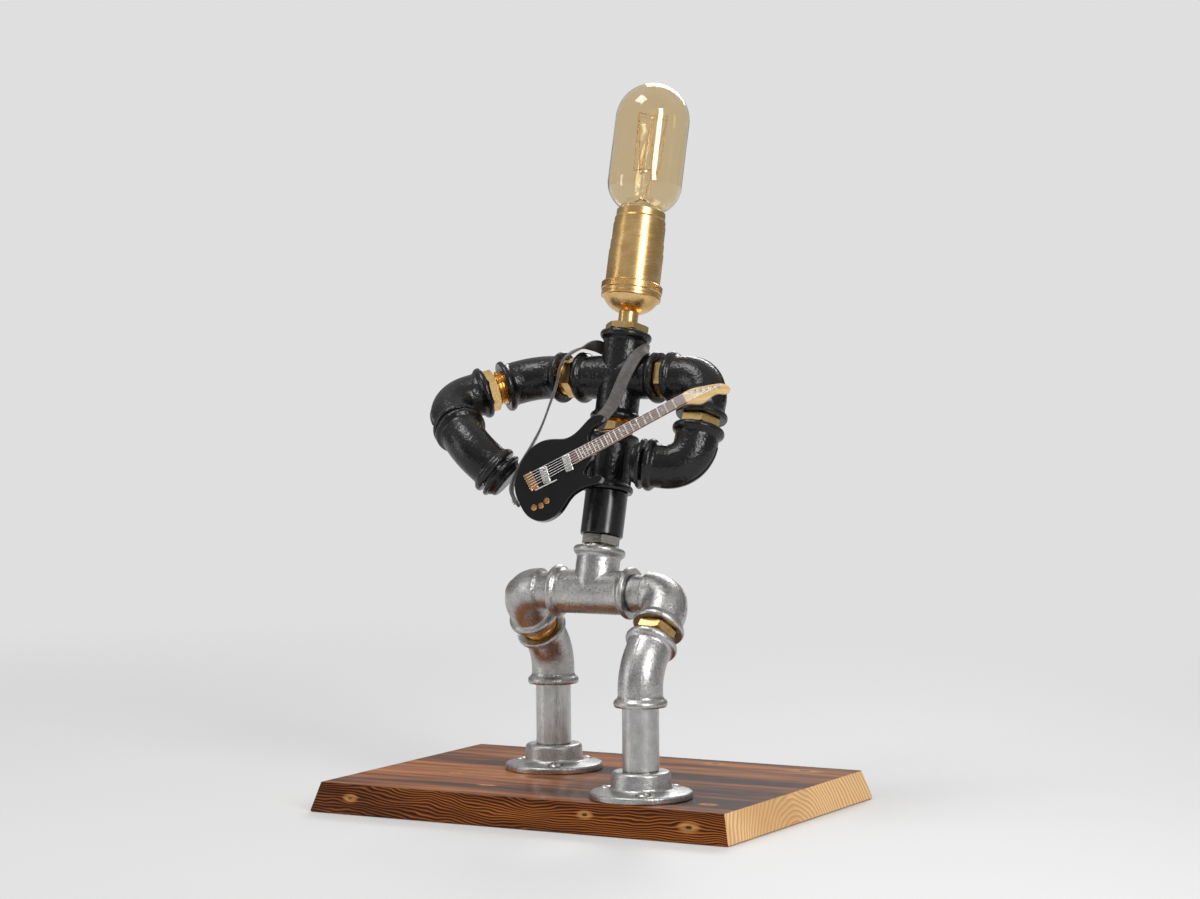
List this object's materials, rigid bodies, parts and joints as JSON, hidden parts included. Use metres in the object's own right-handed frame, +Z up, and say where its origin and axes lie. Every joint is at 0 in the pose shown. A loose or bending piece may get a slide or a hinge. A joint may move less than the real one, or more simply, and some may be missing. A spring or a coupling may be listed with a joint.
{
  "type": "pipe table lamp",
  "caption": "Table lamp built from threaded pipe fittings as a seated guitar player on a wooden board; a filament bulb in a brass holder is the head, and its threaded joints turn.",
  "frame": {"origin": "centre of the board's underside", "axes": "+X along the board's long side to the figure's left hand, +Y to the figure's back, +Z up"},
  "size_m": [0.2794, 0.1914, 0.4342],
  "materials": {
    "wood": "burnt pine under clear gloss varnish",
    "galvanised_iron": "galvanised casting with a fine sandy texture",
    "galvanised_pipe": "bright galvanised tube",
    "zinc_screw": "zinc plated",
    "rubber_grommet": "matte black",
    "nickel_nipple": "nickel plated, machined",
    "black_steel": "smooth satin black",
    "black_iron": "gloss black paint over a sand-cast surface",
    "brass_nipple": "machined, slightly tarnished",
    "holder_brass": "turned and knurled, lacquered",
    "porcelain": "glazed ceramic",
    "contact_brass": "spun sheet brass",
    "amber_glass": "clear amber tint",
    "clear_glass": "clear",
    "filament_wire": "fine bright wire",
    "guitar_black": "polished black lacquer",
    "maple": "satin pale wood",
    "rosewood": "dark red-brown wood",
    "nickel_wire": "bright nickel",
    "pickup_cover": "satin nickel",
    "gold_hardware": "gold plated",
    "strap_leather": "dark grey, fine grain",
    "lead_sheath": "round black sheath"
  },
  "bodies": {
    "root": {"base_board": "wood", "left_foot_flange": "galvanised_iron", "right_foot_flange": "galvanised_iron", "flange_screws": "zinc_screw", "cable_grommet": "rubber_grommet", "left_shin_pipe": "galvanised_pipe", "right_shin_pipe": "galvanised_pipe", "left_knee_elbow": "galvanised_iron", "right_knee_elbow": "galvanised_iron", "left_thigh_nipple": "brass_nipple", "right_thigh_nipple": "brass_nipple", "left_hip_elbow": "galvanised_iron", "right_hip_elbow": "galvanised_iron", "leg_lead": "lead_sheath"},
    "hips": {"hip_tee": "galvanised_iron", "waist_nipple": "nickel_nipple", "hip_lead": "lead_sheath"},
    "torso": {"torso_sleeve": "black_steel", "chest_socket": "black_iron", "chest_nipple": "brass_nipple", "shoulder_cross": "black_iron", "neck_bushing": "brass_nipple", "guitar_body": "guitar_black", "guitar_neck": "maple", "guitar_fretboard": "rosewood", "guitar_frets": "nickel_wire", "guitar_pickups": "pickup_cover", "guitar_bridge": "gold_hardware", "guitar_knobs": "gold_hardware", "guitar_vibrato_arm": "nickel_wire", "guitar_tuners": "nickel_wire", "guitar_strings": "nickel_wire", "strap": "strap_leather", "strap_buttons": "nickel_wire", "torso_lead": "lead_sheath"},
    "lamp_head": {"lamp_neck_tube": "holder_brass", "socket_cap": "holder_brass", "socket_shell": "holder_brass", "socket_insulator": "porcelain", "screw_shell": "contact_brass", "centre_contact": "contact_brass", "terminal_screws": "zinc_screw", "head_lead": "lead_sheath"},
    "bulb": {"bulb_glass": "amber_glass", "bulb_screw_cap": "contact_brass", "bulb_stem": "clear_glass", "bulb_filament": "filament_wire", "filament_supports": "filament_wire"},
    "left_arm": {"left_shoulder_nipple": "brass_nipple", "left_upper_elbow": "black_iron"},
    "left_forearm": {"left_arm_nipple": "brass_nipple", "left_forearm_elbow": "black_iron", "left_hand_plug": "black_iron"},
    "right_arm": {"right_shoulder_nipple": "brass_nipple", "right_shoulder_elbow": "black_iron", "right_arm_nipple": "brass_nipple"},
    "right_forearm": {"right_upper_elbow": "black_iron", "right_wrist_nipple": "black_iron", "right_forearm_elbow": "black_iron", "right_hand_plug": "black_iron"}
  },
  "joints": [
    {"name": "hip_tilt", "type": "hinge", "parent": "root", "child": "hips", "pos_m": [0.014, -0.021, 0.1304], "axis": [1, 0, 0], "range_deg": [-8, 8]},
    {"name": "waist_turn", "type": "hinge", "parent": "hips", "child": "torso", "pos_m": [0.014, -0.01414, 0.15548], "axis": [0, 0.2639, 0.9646], "range_deg": [-20, 20]},
    {"name": "head_turn", "type": "hinge", "parent": "torso", "child": "lamp_head", "pos_m": [0.014, 0.02056, 0.28232], "axis": [0, 0.2639, 0.9646], "range_deg": [-90, 90]},
    {"name": "bulb_unscrew", "type": "slide", "parent": "lamp_head", "child": "bulb", "axis": [0, 0.2639, 0.9646], "range_m": [0, 0.024]},
    {"name": "left_shoulder_turn", "type": "hinge", "parent": "torso", "child": "left_arm", "pos_m": [0.014, 0.01344, 0.25627], "axis": [1, 0, 0], "range_deg": [-6, 6]},
    {"name": "left_elbow_turn", "type": "hinge", "parent": "left_arm", "child": "left_forearm", "pos_m": [0.0735, 0.01344, 0.25627], "axis": [0, -0.4179, -0.9085], "range_deg": [-10, 20]},
    {"name": "right_shoulder_turn", "type": "hinge", "parent": "torso", "child": "right_arm", "pos_m": [0.014, 0.01344, 0.25627], "axis": [-1, 0, 0], "range_deg": [-6, 6]},
    {"name": "right_elbow_turn", "type": "hinge", "parent": "right_arm", "child": "right_forearm", "pos_m": [-0.045, 0.01344, 0.25627], "axis": [-0.7071, -0.6542, -0.2683], "range_deg": [-10, 10]}
  ]
}
